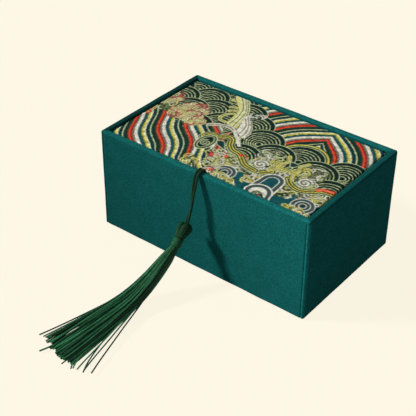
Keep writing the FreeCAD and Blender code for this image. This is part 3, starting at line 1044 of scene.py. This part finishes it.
def strand_points(line, across, up, start, end, reach, wave, leaves, draws):
    """One strand's path: from its place in the bundle at the neck to its own place across the tips."""
    travel = np.linspace(0, 1, len(line))
    drift = draws.normal(0, STRAND_DRIFT, 2)
    waves = draws.uniform(*STRAND_WAVES, 2)
    phase = draws.uniform(0, TURN, 2)
    sway = wave * travel * np.sin(np.outer(waves * TURN, travel) + phase[:, None])
    wide = start[0] + (end + drift[0] - start[0]) * np.minimum(travel / reach, 1) ** leaves + sway[0]
    thick = np.clip(start[1] + drift[1] * travel + sway[1], -1, 1)
    points = line[:, :3] + across * (wide * line[:, 3])[:, None] + up * (thick * line[:, 4])[:, None]
    kept = np.linspace(0, reach, len(line))
    return np.column_stack([np.interp(kept, travel, column) for column in points.T])


def make_skirt(material):
    """Silk strands fanned out from the neck to the floor, with strays and a longest one."""
    draws = np.random.default_rng(STRAND_SEED)
    rows = [(x, -WALL_FACE - forward, z, wide, thick) for x, forward, z, wide, thick in SKIRT]
    line = smooth_path(rows, LINE_STEPS)
    forward = unit(np.gradient(line[:, :3], axis=0))
    across = unit(np.cross(forward, UP))
    up = np.cross(across, forward)
    taper = np.interp(np.linspace(0, 1, len(line)), *np.transpose(STRAND_TAPER))
    tubes = []
    shades = []
    for strand in range(STRANDS + STRAYS + 1):
        spoke = math.sqrt((strand % STRANDS + 0.5) / STRANDS)
        angle = strand * GOLDEN_ANGLE
        start = (spoke * math.cos(angle), spoke * math.sin(angle))
        end = start[0] if start[0] > 0 else start[0] * SKIRT_TUCK
        reach = STRAND_REACH - STRAND_SLANT * max(end, 0) - abs(draws.normal(0, STRAND_UNEVEN))
        radius = STRAND_RADIUS * draws.uniform(*STRAND_SIZES)
        wave, leaves = STRAND_WAVE, 1.0
        if strand == STRANDS + STRAYS:
            end, reach = LONGEST
        elif strand >= STRANDS:
            share = (strand - STRANDS) / (STRAYS - 1)
            start = (-abs(start[0]), start[1])
            end = np.interp(share, (0, 1), STRAY_ENDS)
            reach = np.interp(share, (0, 1), STRAY_REACHES)
            radius, wave, leaves = STRAY_RADIUS, STRAY_WAVE, STRAY_LEAVES
        points = strand_points(line, across, up, start, end, reach, wave, leaves, draws)
        points[:, 2] = np.maximum(points[:, 2], radius + STRAND_LIFT)
        tubes.append(tube(points, radius * taper))
        shades += [draws.triangular(*STRAND_SHADES)] * len(tubes[-1][0])
    shade = np.array(shades)[:, None]
    make_threads("tassel_skirt_strands", tubes, shade, material, "tassel", "tassel_skirt")


def head_points(side, deep, share):
    """Points from distances across and over the head's axis, and shares of the way down it."""
    down = np.subtract(NECK, HEAD_TOP)
    across = unit(np.cross(down, UP))
    over = np.cross(across, unit(down))
    return HEAD_TOP + np.outer(side, across) + np.outer(deep, over) + np.outer(share, down)


def make_head(material):
    """Threads folded over the cord's end in two lobes, up the front and down the back, with a filling."""
    shares, widths = np.transpose(HEAD_WIDTHS)
    rise = np.linspace(1, HEAD_FOLD, RISE_POINTS)
    bend = np.radians(np.linspace(0, 180, BEND_POINTS))[1:-1]
    front = np.concatenate([np.ones(RISE_POINTS), np.cos(bend), -np.ones(RISE_POINTS)])
    core = np.linspace(HEAD_FOLD, 1, CORE_POINTS)
    core_widths = np.interp(core, shares, widths)
    core[0] = HEAD_FOLD / 2
    through = np.linspace(-1, 1, FOLD_POINTS)
    tubes = []
    for middle, half, lower in HEAD_LOBES:
        filling = head_points(middle * core_widths, 0, core)
        tubes.append(tube(filling, HEAD_CORE * half * core_widths, CORE_SIDES))
        width = HEAD_CORE * core_widths[0]
        fold = head_points(middle * core_widths[0], through * (LOBE_DEPTH + half) * width, lower + FOLD_PLACE)
        tubes.append(tube(fold, half * width * np.sqrt(FOLD_ROUND - through**2), CORE_SIDES))
        for share in np.linspace(-OUTER_THREAD, OUTER_THREAD, HEAD_THREADS):
            round_off = math.sqrt(1 - share**2)
            peak = lower + HEAD_FOLD * (1 - round_off)
            place = np.concatenate([rise, HEAD_FOLD - (HEAD_FOLD - peak) * np.sin(bend), rise[::-1]])
            width = np.interp(place, shares, widths)
            side = middle + share * half
            apart = np.clip((1 - place) / (1 - HEAD_FOLD), 0, 1) ** 2
            together = math.sqrt(max(1 - side**2, 0))
            deep = (1 - apart) * together + apart * round_off * (LOBE_DEPTH + half)
            tubes.append(tube(head_points(side * width, front * deep * width, place), HEAD_THREAD))
    return make_threads("tassel_head_threads", tubes, HEAD_SHADE, material, "tassel", "tassel_head")


def make_binding(material):
    """Thread wound round the neck, turn beside turn. Its first turns are painted darker, a painted shade
    where they start under the head.
    """
    angle = np.linspace(0, TURN * BINDING_TURNS, BINDING_POINTS * BINDING_TURNS)
    place = np.linspace(*BINDING_PLACE, len(angle))
    points = head_points(BINDING_RADIUS * np.cos(angle), BINDING_RADIUS * np.sin(angle), place)
    thread = tube(points, BINDING_THREAD, BINDING_SIDES)
    # Painted shade on the first turns, where they start under the head.
    shade = np.where(angle < TURN * BINDING_SHADOW_TURNS, *BINDING_SHADE).repeat(BINDING_SIDES)[:, None]
    return make_threads(
        "neck_binding_thread", [thread], shade, material, "tassel", "neck_binding"
    )


# Brocade pattern


def soft(distance):
    """Cover of a shape from the distance outside its edge, with a soft edge one thread wide."""
    return np.clip(0.5 - distance / THREAD, 0, 1)


def path_distance(x, y, path):
    """Distance of points from a line of straight spans."""
    nearest = np.full(len(x), np.inf)
    for (ax, ay), (bx, by) in zip(path[:-1], path[1:]):
        dx, dy = bx - ax, by - ay
        share = np.clip(((x - ax) * dx + (y - ay) * dy) / max(dx * dx + dy * dy, TINY), 0, 1)
        nearest = np.minimum(nearest, (x - ax - share * dx) ** 2 + (y - ay - share * dy) ** 2)
    return np.sqrt(nearest)


def outline_distance(x, y, ring):
    """Distance outside a closed outline, negative inside."""
    closed = np.vstack([ring, ring[:1]])
    inside = np.zeros(len(x), bool)
    for (ax, ay), (bx, by) in zip(closed[:-1], closed[1:]):
        if ay != by:
            crosses = (ay > y) != (by > y)
            inside ^= crosses & (x < ax + (y - ay) * (bx - ax) / (by - ay))
    distance = path_distance(x, y, closed)
    return np.where(inside, -distance, distance)


class Weaving:
    """Thread colour and height at points of the flat brocade, painted from the rear to the front."""

    def __init__(self, x, y):
        self.x = x
        self.y = y
        self.colour = np.tile(np.array(GREEN), (len(x), 1))
        self.height = np.zeros(len(x))

    def near(self, points, margin):
        """Numbers of the cloth's points near some motif points, and their places."""
        low = np.min(points, axis=0) - margin
        high = np.max(points, axis=0) + margin
        inside = (self.x > low[0]) & (self.x < high[0]) & (self.y > low[1]) & (self.y < high[1])
        where = np.flatnonzero(inside)
        return where, self.x[where], self.y[where]

    def paint(self, where, cover, colour, height):
        self.colour[where] += (np.array(colour) - self.colour[where]) * cover[:, None]
        self.height[where] += (height - self.height[where]) * cover

    def fill(self, where, outside, bands, height):
        """Paints bands of (depth from the edge, colour), one over another."""
        for depth, colour in bands:
            self.paint(where, soft(outside + depth), colour, height)

    def patch(self, ring, bands, height=PATCH_HEIGHT):
        where, x, y = self.near(ring, MARGIN)
        self.fill(where, outline_distance(x, y, ring), bands, height)

    def disc(self, x, y, radius, bands, height=PATCH_HEIGHT):
        where, px, py = self.near([(x, y)], radius + MARGIN)
        self.fill(where, np.hypot(px - x, py - y) - radius, bands, height)

    def ribbon(self, path, bands):
        """Paints a line with bands of (half width, colour), the widest first."""
        where, x, y = self.near(path, bands[0][0] + MARGIN)
        depths = [(-half_width, colour) for half_width, colour in bands]
        self.fill(where, path_distance(x, y, path), depths, RIBBON_HEIGHT)


def paint_stripes(cloth, where, level, cover):
    """The repeating run of stripes. The level is the distance across them from a red one's middle."""
    middle = -STRIPES[0][0] / 2
    for number, (width, colour, ragged) in enumerate(STRIPES):
        middle += width / 2
        offset = (level - middle + STRIPE_REPEAT / 2) % STRIPE_REPEAT - STRIPE_REPEAT / 2
        edge = ragged * ripple(cloth.x[where], cloth.y[where], STRIPE_RIPPLE, STRIPE_SEED + number)
        height = STRIPE_HEIGHT * sum(colour)
        cloth.paint(where, soft(np.abs(offset) - width / 2 + edge) * cover, colour, height)
        middle += width / 2


def paint_ogee(cloth):
    """Stripes that rise to a point, behind the waves on the right."""
    where = np.flatnonzero(cloth.x > OGEE_LEFT)
    x = cloth.x[where] - MIRROR_X
    y = cloth.y[where] - OGEE_FOOT
    radius = np.hypot(x, y)
    lean = np.degrees(np.arctan2(np.abs(x), y))
    peak = np.polyval(OGEE_PEAK, radius) * np.exp(-lean / np.polyval(OGEE_SPREAD, radius))
    paint_stripes(cloth, where, radius - peak - OGEE_FIRST_RED, np.ones(len(where)))


def paint_slope(cloth):
    """Wavy stripes on the left, inside their own outline."""
    ring = smooth_path(SLOPE_OUTLINE, WIDE_RING_STEPS, True)
    where, x, y = cloth.near(ring, MARGIN)
    along = SLOPE_LEAN[1] * x - SLOPE_LEAN[0] * y
    level = SLOPE_LEAN[0] * x + SLOPE_LEAN[1] * y - SLOPE_FIRST_RED
    waves = (along - np.polyval(SLOPE_BEND, level)) / SLOPE_WAVE_LENGTH
    level = level + SLOPE_WAVE * np.cos(TURN * waves)
    paint_stripes(cloth, where, level, soft(outline_distance(x, y, ring)))


def paint_scales(cloth, scales):
    """Wave scales, the rear ones first: a pale edge, a dark band and fine arcs in each."""
    for x, y, radius in sorted(scales, key=lambda scale: -scale[1]):
        cloth.disc(x, y, radius, [(0, PALE), (SCALE_EDGE, DARK)], SCALE_HEIGHT)
        where, px, py = cloth.near([(x, y)], radius)
        fray = SCALE_FRAY * ripple(px, py, *SCALE_WAVER)
        for arc_radius in np.arange(radius - SCALE_BAND, SCALE_LAST, -SCALE_LINES):
            distance = np.hypot(px - x, py - y + SCALE_LEAN * (radius - arc_radius))
            cloth.paint(where, soft(np.abs(distance - arc_radius) - SCALE_THREAD + fray), LINE, PATCH_HEIGHT)


def oval(x, y, half_x, half_y, starts=None):
    """An outline round a motif, with lobes where the angles that they start at are given."""
    angle = np.linspace(0, TURN, OVAL_POINTS, endpoint=False)
    swell = np.zeros_like(angle)
    if starts is not None:
        swell = sum(size * np.sin(count * angle + start) for (count, size), start in zip(OVAL_LOBES, starts))
    return polar((x, y), np.outer((half_x, half_y), 1 + OVAL_WAVER * swell), angle)


def paint_tuft(cloth, seed, x, y, half_x, half_y, ground, colours):
    """A patch of short curled threads on its ground: a flower, foam or foliage."""
    draws = np.random.default_rng(seed)
    starts = draws.uniform(0, TURN, len(OVAL_LOBES))
    cloth.patch(oval(x, y, half_x, half_y, starts), [(0, colours[1]), (TUFT_EDGE, ground)])
    for number in range(int(CURLS_TO_AREA * half_x * half_y)):
        turn = draws.uniform(0, TURN)
        out = TUFT_FILL * math.sqrt(draws.uniform(0, 1))
        middle = (x + half_x * out * math.cos(turn), y + half_y * out * math.sin(turn))
        size = draws.uniform(*CURL_SIZES)
        start = draws.uniform(0, 360)
        curl = arc(middle, size, start, start + draws.uniform(*CURL_SWEEPS), CURL_POINTS)
        cloth.ribbon(curl, [(CURL_THREAD + CURL_EDGE, MOSS), (CURL_THREAD, colours[number % len(colours)])])


def paint_tufts(cloth, tufts, seed):
    for number, tuft in enumerate(tufts):
        paint_tuft(cloth, seed + number, *tuft)


def paint_arch(cloth, top, base, half_width, core):
    """A doorway of nested arches on the mirror line."""
    arch = arc((MIRROR_X, top - half_width), half_width, 0, 180, ARCH_POINTS)
    splay = half_width * ARCH_SPLAY
    ring = np.vstack([(MIRROR_X + splay, base), arch, (MIRROR_X - splay, base)])
    cloth.patch(ring, [*ARCH_BANDS, (ARCH_CORE, core)])


def spiral(x, y, radius, turns, start):
    angle = np.linspace(0, TURN * turns, int(SPIRAL_POINTS * turns))
    return polar((x, y), radius * (1 - angle / angle[-1] * SPIRAL_CLOSE), start + angle)


def mirrored(rows, side):
    """Rows whose first value, a distance from the mirror line, becomes a place on one side of it."""
    return [(MIRROR_X + side * distance, *rest) for distance, *rest in rows]


def paint_left(cloth):
    """Crest, feather, cloud and peonies on the left half."""
    for barb in CREST_BARBS:
        cloth.ribbon(smooth_path(barb, LINE_STEPS), BARB_BANDS)
    for ring, bands, lines, line_bands in (
        (CREST, CREST_BANDS, CREST_LINES, CREST_LINE_BANDS),
        (FEATHER, FEATHER_BANDS, FEATHER_LINES, FEATHER_LINE_BANDS),
    ):
        cloth.patch(smooth_path(ring, RING_STEPS, True), bands)
        for line in lines:
            cloth.ribbon(smooth_path(line, LINE_STEPS), line_bands)
    cloth.ribbon(smooth_path(CLOUD), CLOUD_BANDS)
    cloth.ribbon(smooth_path(CLOUD_TAIL), CLOUD_TAIL_BANDS)
    paint_tufts(cloth, LEFT_TUFTS, LEFT_SEED)


def paint_middle(cloth):
    """The ruyi head, its ribbon and the flowers at the front."""
    cloth.patch(smooth_path(RUYI_LEAF, RING_STEPS, True), RUYI_LEAF_BANDS)
    paint_tufts(cloth, FRONT_TUFTS, FRONT_SEED)
    cloth.ribbon(smooth_path(RUYI_RIBBON), RIBBON_BANDS)
    cloth.patch(oval(*RUYI), RUYI_BANDS)
    cloth.ribbon(spiral(*RUYI_SPIRAL), RUYI_SPIRAL_BANDS)
    for x, y in RED_DOTS:
        cloth.disc(x, y, DOT_RADIUS, [(0, RED)])


def paint_pair(cloth, side):
    """One half of the mirrored group on the right: foliage, rocks, antlers, clouds and a border."""
    paint_tufts(cloth, mirrored(PAIR_TUFTS, side), PAIR_SEEDS[side])
    rock, scroll = mirrored([ROCK, SCROLL], side)
    cloth.disc(*rock, ROCK_RADIUS, ROCK_BANDS)
    paint_tufts(cloth, mirrored([SHORE_TUFT], side), SHORE_SEEDS[side])
    cloth.ribbon(smooth_path(mirrored(BORDER, side)), RIBBON_BANDS)
    cloth.ribbon(smooth_path(mirrored(BORDER_END, side)), BORDER_END_BANDS)
    cloth.ribbon(spiral(*scroll, *SCROLL_SHAPE), SCROLL_BANDS)
    cloth.ribbon(smooth_path(mirrored(ANTLER, side)), ANTLER_BANDS)


def paint_right(cloth):
    """Water, the mirrored group and what stands on the mirror line."""
    cloth.patch(smooth_path(WATER_OUTLINE, WIDE_RING_STEPS, True), [(0, WATER)], WATER_HEIGHT)
    for side in (-1, 1):
        paint_pair(cloth, side)
    cloth.patch(np.array(mirrored(TRIANGLE, 1)), TRIANGLE_BANDS)
    cloth.ribbon(mirrored(BAR, 1), BAR_BANDS)
    for arch in ARCHES:
        paint_arch(cloth, *arch)
    paint_tuft(cloth, DOOR_SEED, *DOOR_TUFT)


def weave_pattern(x, y):
    """Colour and relative thread height over the flat brocade."""
    cloth = Weaving(x, y)
    paint_ogee(cloth)
    cloth.disc(*HALO, HALO_BANDS)
    pair = [scale for row in PAIR_SCALES for side in (-1, 1) for scale in mirrored([row], side)]
    paint_scales(cloth, pair + list(MIDDLE_SCALES))
    paint_scales(cloth, LEFT_SCALES)
    paint_slope(cloth)
    paint_left(cloth)
    paint_right(cloth)
    paint_middle(cloth)
    flecks = 1 + FLECKS * (ripple(x, y, *FINE_FLECKS) + ripple(x, y, *BROAD_FLECKS))
    return cloth.colour * flecks[:, None], cloth.height


# Brocade cover


def brocade_section(top, bottom):
    """Steps from the lid's top to the turned-under edge: outward, height and run."""
    inner = LID_EDGE - UNDER_ROUND
    foot = bottom + UNDER_ROUND
    edge = arc((0, top - LID_EDGE), LID_EDGE, 90, 0, LID_EDGE_POINTS)
    side = np.linspace((LID_EDGE, top - LID_EDGE), (LID_EDGE, foot), LID_SIDE_POINTS)[1:]
    under = arc((inner, foot), UNDER_ROUND, 0, -90, LID_UNDER_POINTS)[1:]
    flat = [(inner - run, bottom) for run in np.arange(TURN_UNDER_STEP, BROCADE_TURN_UNDER, TURN_UNDER_STEP)]
    path = np.vstack([edge, side, under, flat])
    return np.column_stack([path, run_along(path)])[1:]


def edge_directions(rows, columns):
    """Edge vertices of the top grid with their outward directions, the corners several times over."""
    entries = []
    for number in perimeter(rows, columns):
        row, column = divmod(int(number), columns)
        at_x = (row == rows - 1) - (row == 0)
        at_y = (column == columns - 1) - (column == 0)
        middle = math.degrees(math.atan2(at_y, at_x))
        count = LID_CORNER_POINTS if at_x and at_y else 1
        spread = 45 if at_x and at_y else 0
        entries += [(number, *way) for way in arc((0, 0), 1, middle - spread, middle + spread, count)]
    return entries


def lid_rise(flat, half):
    """The crown's height above the lid's corners."""
    return LID_CROWN * (1 - (flat**2).sum(axis=1) / (half**2).sum())


def brocade_surface(low, high):
    """Vertices, faces and flat cloth places of the cover."""
    middle = (low + high)[:2] / 2
    half = high[:2] - middle
    reach = half - LID_EDGE
    counts = (2 * reach / LID_STEP).astype(int).tolist()
    places = [np.linspace(-far, far, count) for far, count in zip(reach, counts)]
    grid = np.meshgrid(*places, indexing="ij")
    top = np.stack(grid, axis=-1).reshape(-1, 2)
    corner_top = high[2] - LID_CROWN
    flat = [top]
    points = [np.column_stack([top, corner_top + lid_rise(top, half)])]
    entries = np.array(edge_directions(*counts))
    numbers = entries[:, 0].astype(int)
    outward = entries[:, 1:]
    start = top[numbers]
    rise = lid_rise(start, half)
    section = brocade_section(corner_top, low[2])
    for out, z, run in section:
        shrink = min(out - UNDER_CORNER, 0)
        place = start * (1 + shrink / reach) + outward * max(out, UNDER_CORNER)
        lifted = rise * np.clip((z - low[2]) / (corner_top - low[2]), 0, 1)
        points.append(np.column_stack([place, z + lifted]))
        flat.append(start + outward * run)
    first_ring = np.arange(len(numbers)) + len(top)
    around = grid_faces(len(section), len(numbers), True, len(top))[:, ::-1]
    faces = grid_faces(*counts).tolist() + around.tolist()
    for face in zip(numbers, first_ring, np.roll(first_ring, -1), np.roll(numbers, -1)):
        faces.append(face[:3] if face[0] == face[3] else face)
    points = np.vstack(points)
    points[:, :2] += middle
    return points, faces, np.vstack(flat) + middle


def cord_notch(points):
    """How far the cover is pressed back where the cord comes up at its front edge."""
    x, y = points[:, 0], points[:, 1]
    beside = np.clip((NOTCH_HALF_WIDTH - np.abs(x)) / NOTCH_SLOPE, 0, 1)
    front = np.clip((y.min() + NOTCH_REACH - y) / NOTCH_RUN, 0, 1)
    return NOTCH_DEPTH * beside * front**2


def make_brocade(material):
    low, high = node_box("lid_brocade")
    points, faces, flat = brocade_surface(low, high)
    colour, height = weave_pattern(flat[:, 0], flat[:, 1])
    on_top = points[:, 2] > high[2] - LID_CROWN - LID_EDGE / 2
    points[:, 2] += np.where(on_top, THREAD_HEIGHT * (height - THREAD_SINK), 0)
    points[:, 1] += cord_notch(points)
    piece = make_piece("lid_brocade_cover", points, faces, material, LID_SHARP)
    paint_vertices(piece, "Thread", np.clip(colour, 0, 1))
    unroll = piece.data.uv_layers.new(name="OFBake")
    corners = np.array([loop.vertex_index for loop in piece.data.loops])
    spread = np.abs(flat).max() * UV_MARGIN
    unroll.data.foreach_set("uv", (0.5 + flat[corners] / (2 * spread)).ravel())
    seat(piece, "lid", "lid_brocade")


# Stage, camera and light


def empty_tree(owner):
    owner.use_nodes = True
    owner.node_tree.nodes.clear()
    return owner.node_tree


def show_apart(tree, kind, unseen, shown):
    """Shows one shader to the camera, also in gloss or glass, and lights the scene with another."""
    seen = 0.0
    for ray in ("Camera", "Glossy", "Transmission"):
        straight = add_node(tree, "LightPath", output=f"Is {ray} Ray")
        seen = add_node(tree, "Math", {0: straight, 1: seen}, operation="MAXIMUM")
    mixed = add_node(tree, "MixShader", {"Fac": seen, 1: unseen, 2: shown})
    add_node(tree, "Output" + kind, {"Surface": mixed})


def add_stage():
    """A cream floor that keeps a soft shadow and throws little light back."""
    material = bpy.data.materials.new("cream_floor")
    tree = empty_tree(material)
    lit = add_node(tree, "BsdfDiffuse", {"Color": STUDIO_CREAM})
    even = add_node(tree, "Emission", {"Color": STUDIO_CREAM, "Strength": 1.0})
    shown = add_node(tree, "MixShader", {"Fac": 1 - FLOOR_SHADE, 1: lit, 2: even})
    unseen = add_node(tree, "BsdfDiffuse", {"Color": (*grey(FLOOR_BOUNCE), 1)})
    show_apart(tree, "Material", unseen, shown)
    half = FLOOR_SIZE / 2
    corners = [(x * half, y * half, -FLOOR_DROP) for x, y in ((-1, -1), (1, -1), (1, 1), (-1, 1))]
    make_piece("floor", corners, [(0, 1, 2, 3)], material)


def add_light():
    world = bpy.data.worlds.new("studio")
    bpy.context.scene.world = world
    tree = empty_tree(world)
    ambient = add_node(tree, "Background", {"Color": (*AMBIENT_TINT, 1), "Strength": AMBIENT})
    cream = add_node(tree, "Background", {"Color": STUDIO_CREAM, "Strength": 1.0})
    show_apart(tree, "World", ambient, cream)
    key = bpy.data.lights.new("key", "SUN")
    key.energy = KEY_STRENGTH
    key.angle = math.radians(KEY_SPREAD)
    add_object("key", key).rotation_euler = Vector(KEY_TRAVEL).to_track_quat("-Z", "Y").to_euler()


def add_camera():
    data = bpy.data.cameras.new("camera")
    data.lens = CAMERA_LENS
    data.clip_start = CAMERA_NEAR * MM
    camera = add_object("camera", data)
    aim = Euler((math.radians(90 - CAMERA_DOWN), 0, math.radians(CAMERA_YAW))).to_matrix()
    turned = aim @ Matrix.Rotation(math.radians(CAMERA_ROLL), 3, "Z")
    camera.matrix_world = Matrix.Translation(Vector(CAMERA_PLACE) * MM) @ turned.to_4x4()
    bpy.context.scene.camera = camera


bpy.context.scene.view_settings.view_transform = "Standard"
add_camera()
add_light()
add_stage()
teal = wrap_cloth_material()
flannel = lining_material()
silk = silk_material("tassel_silk", *SILK, pitch=0.35)
board = greyboard_material()
for node in BOARDS:
    finish_node(node, board)
finish_node("bottom_cover", bottom_paper_material())
make_wrap(teal)
make_pads(foam_material(), flannel)
make_linings(flannel)
make_hinge(teal)
make_brocade(brocade_material())
head = make_head(silk)
binding = make_binding(silk_material("binding_thread", *BINDING_SILK, pitch=0.2))
make_skirt(silk)
make_cords(silk)
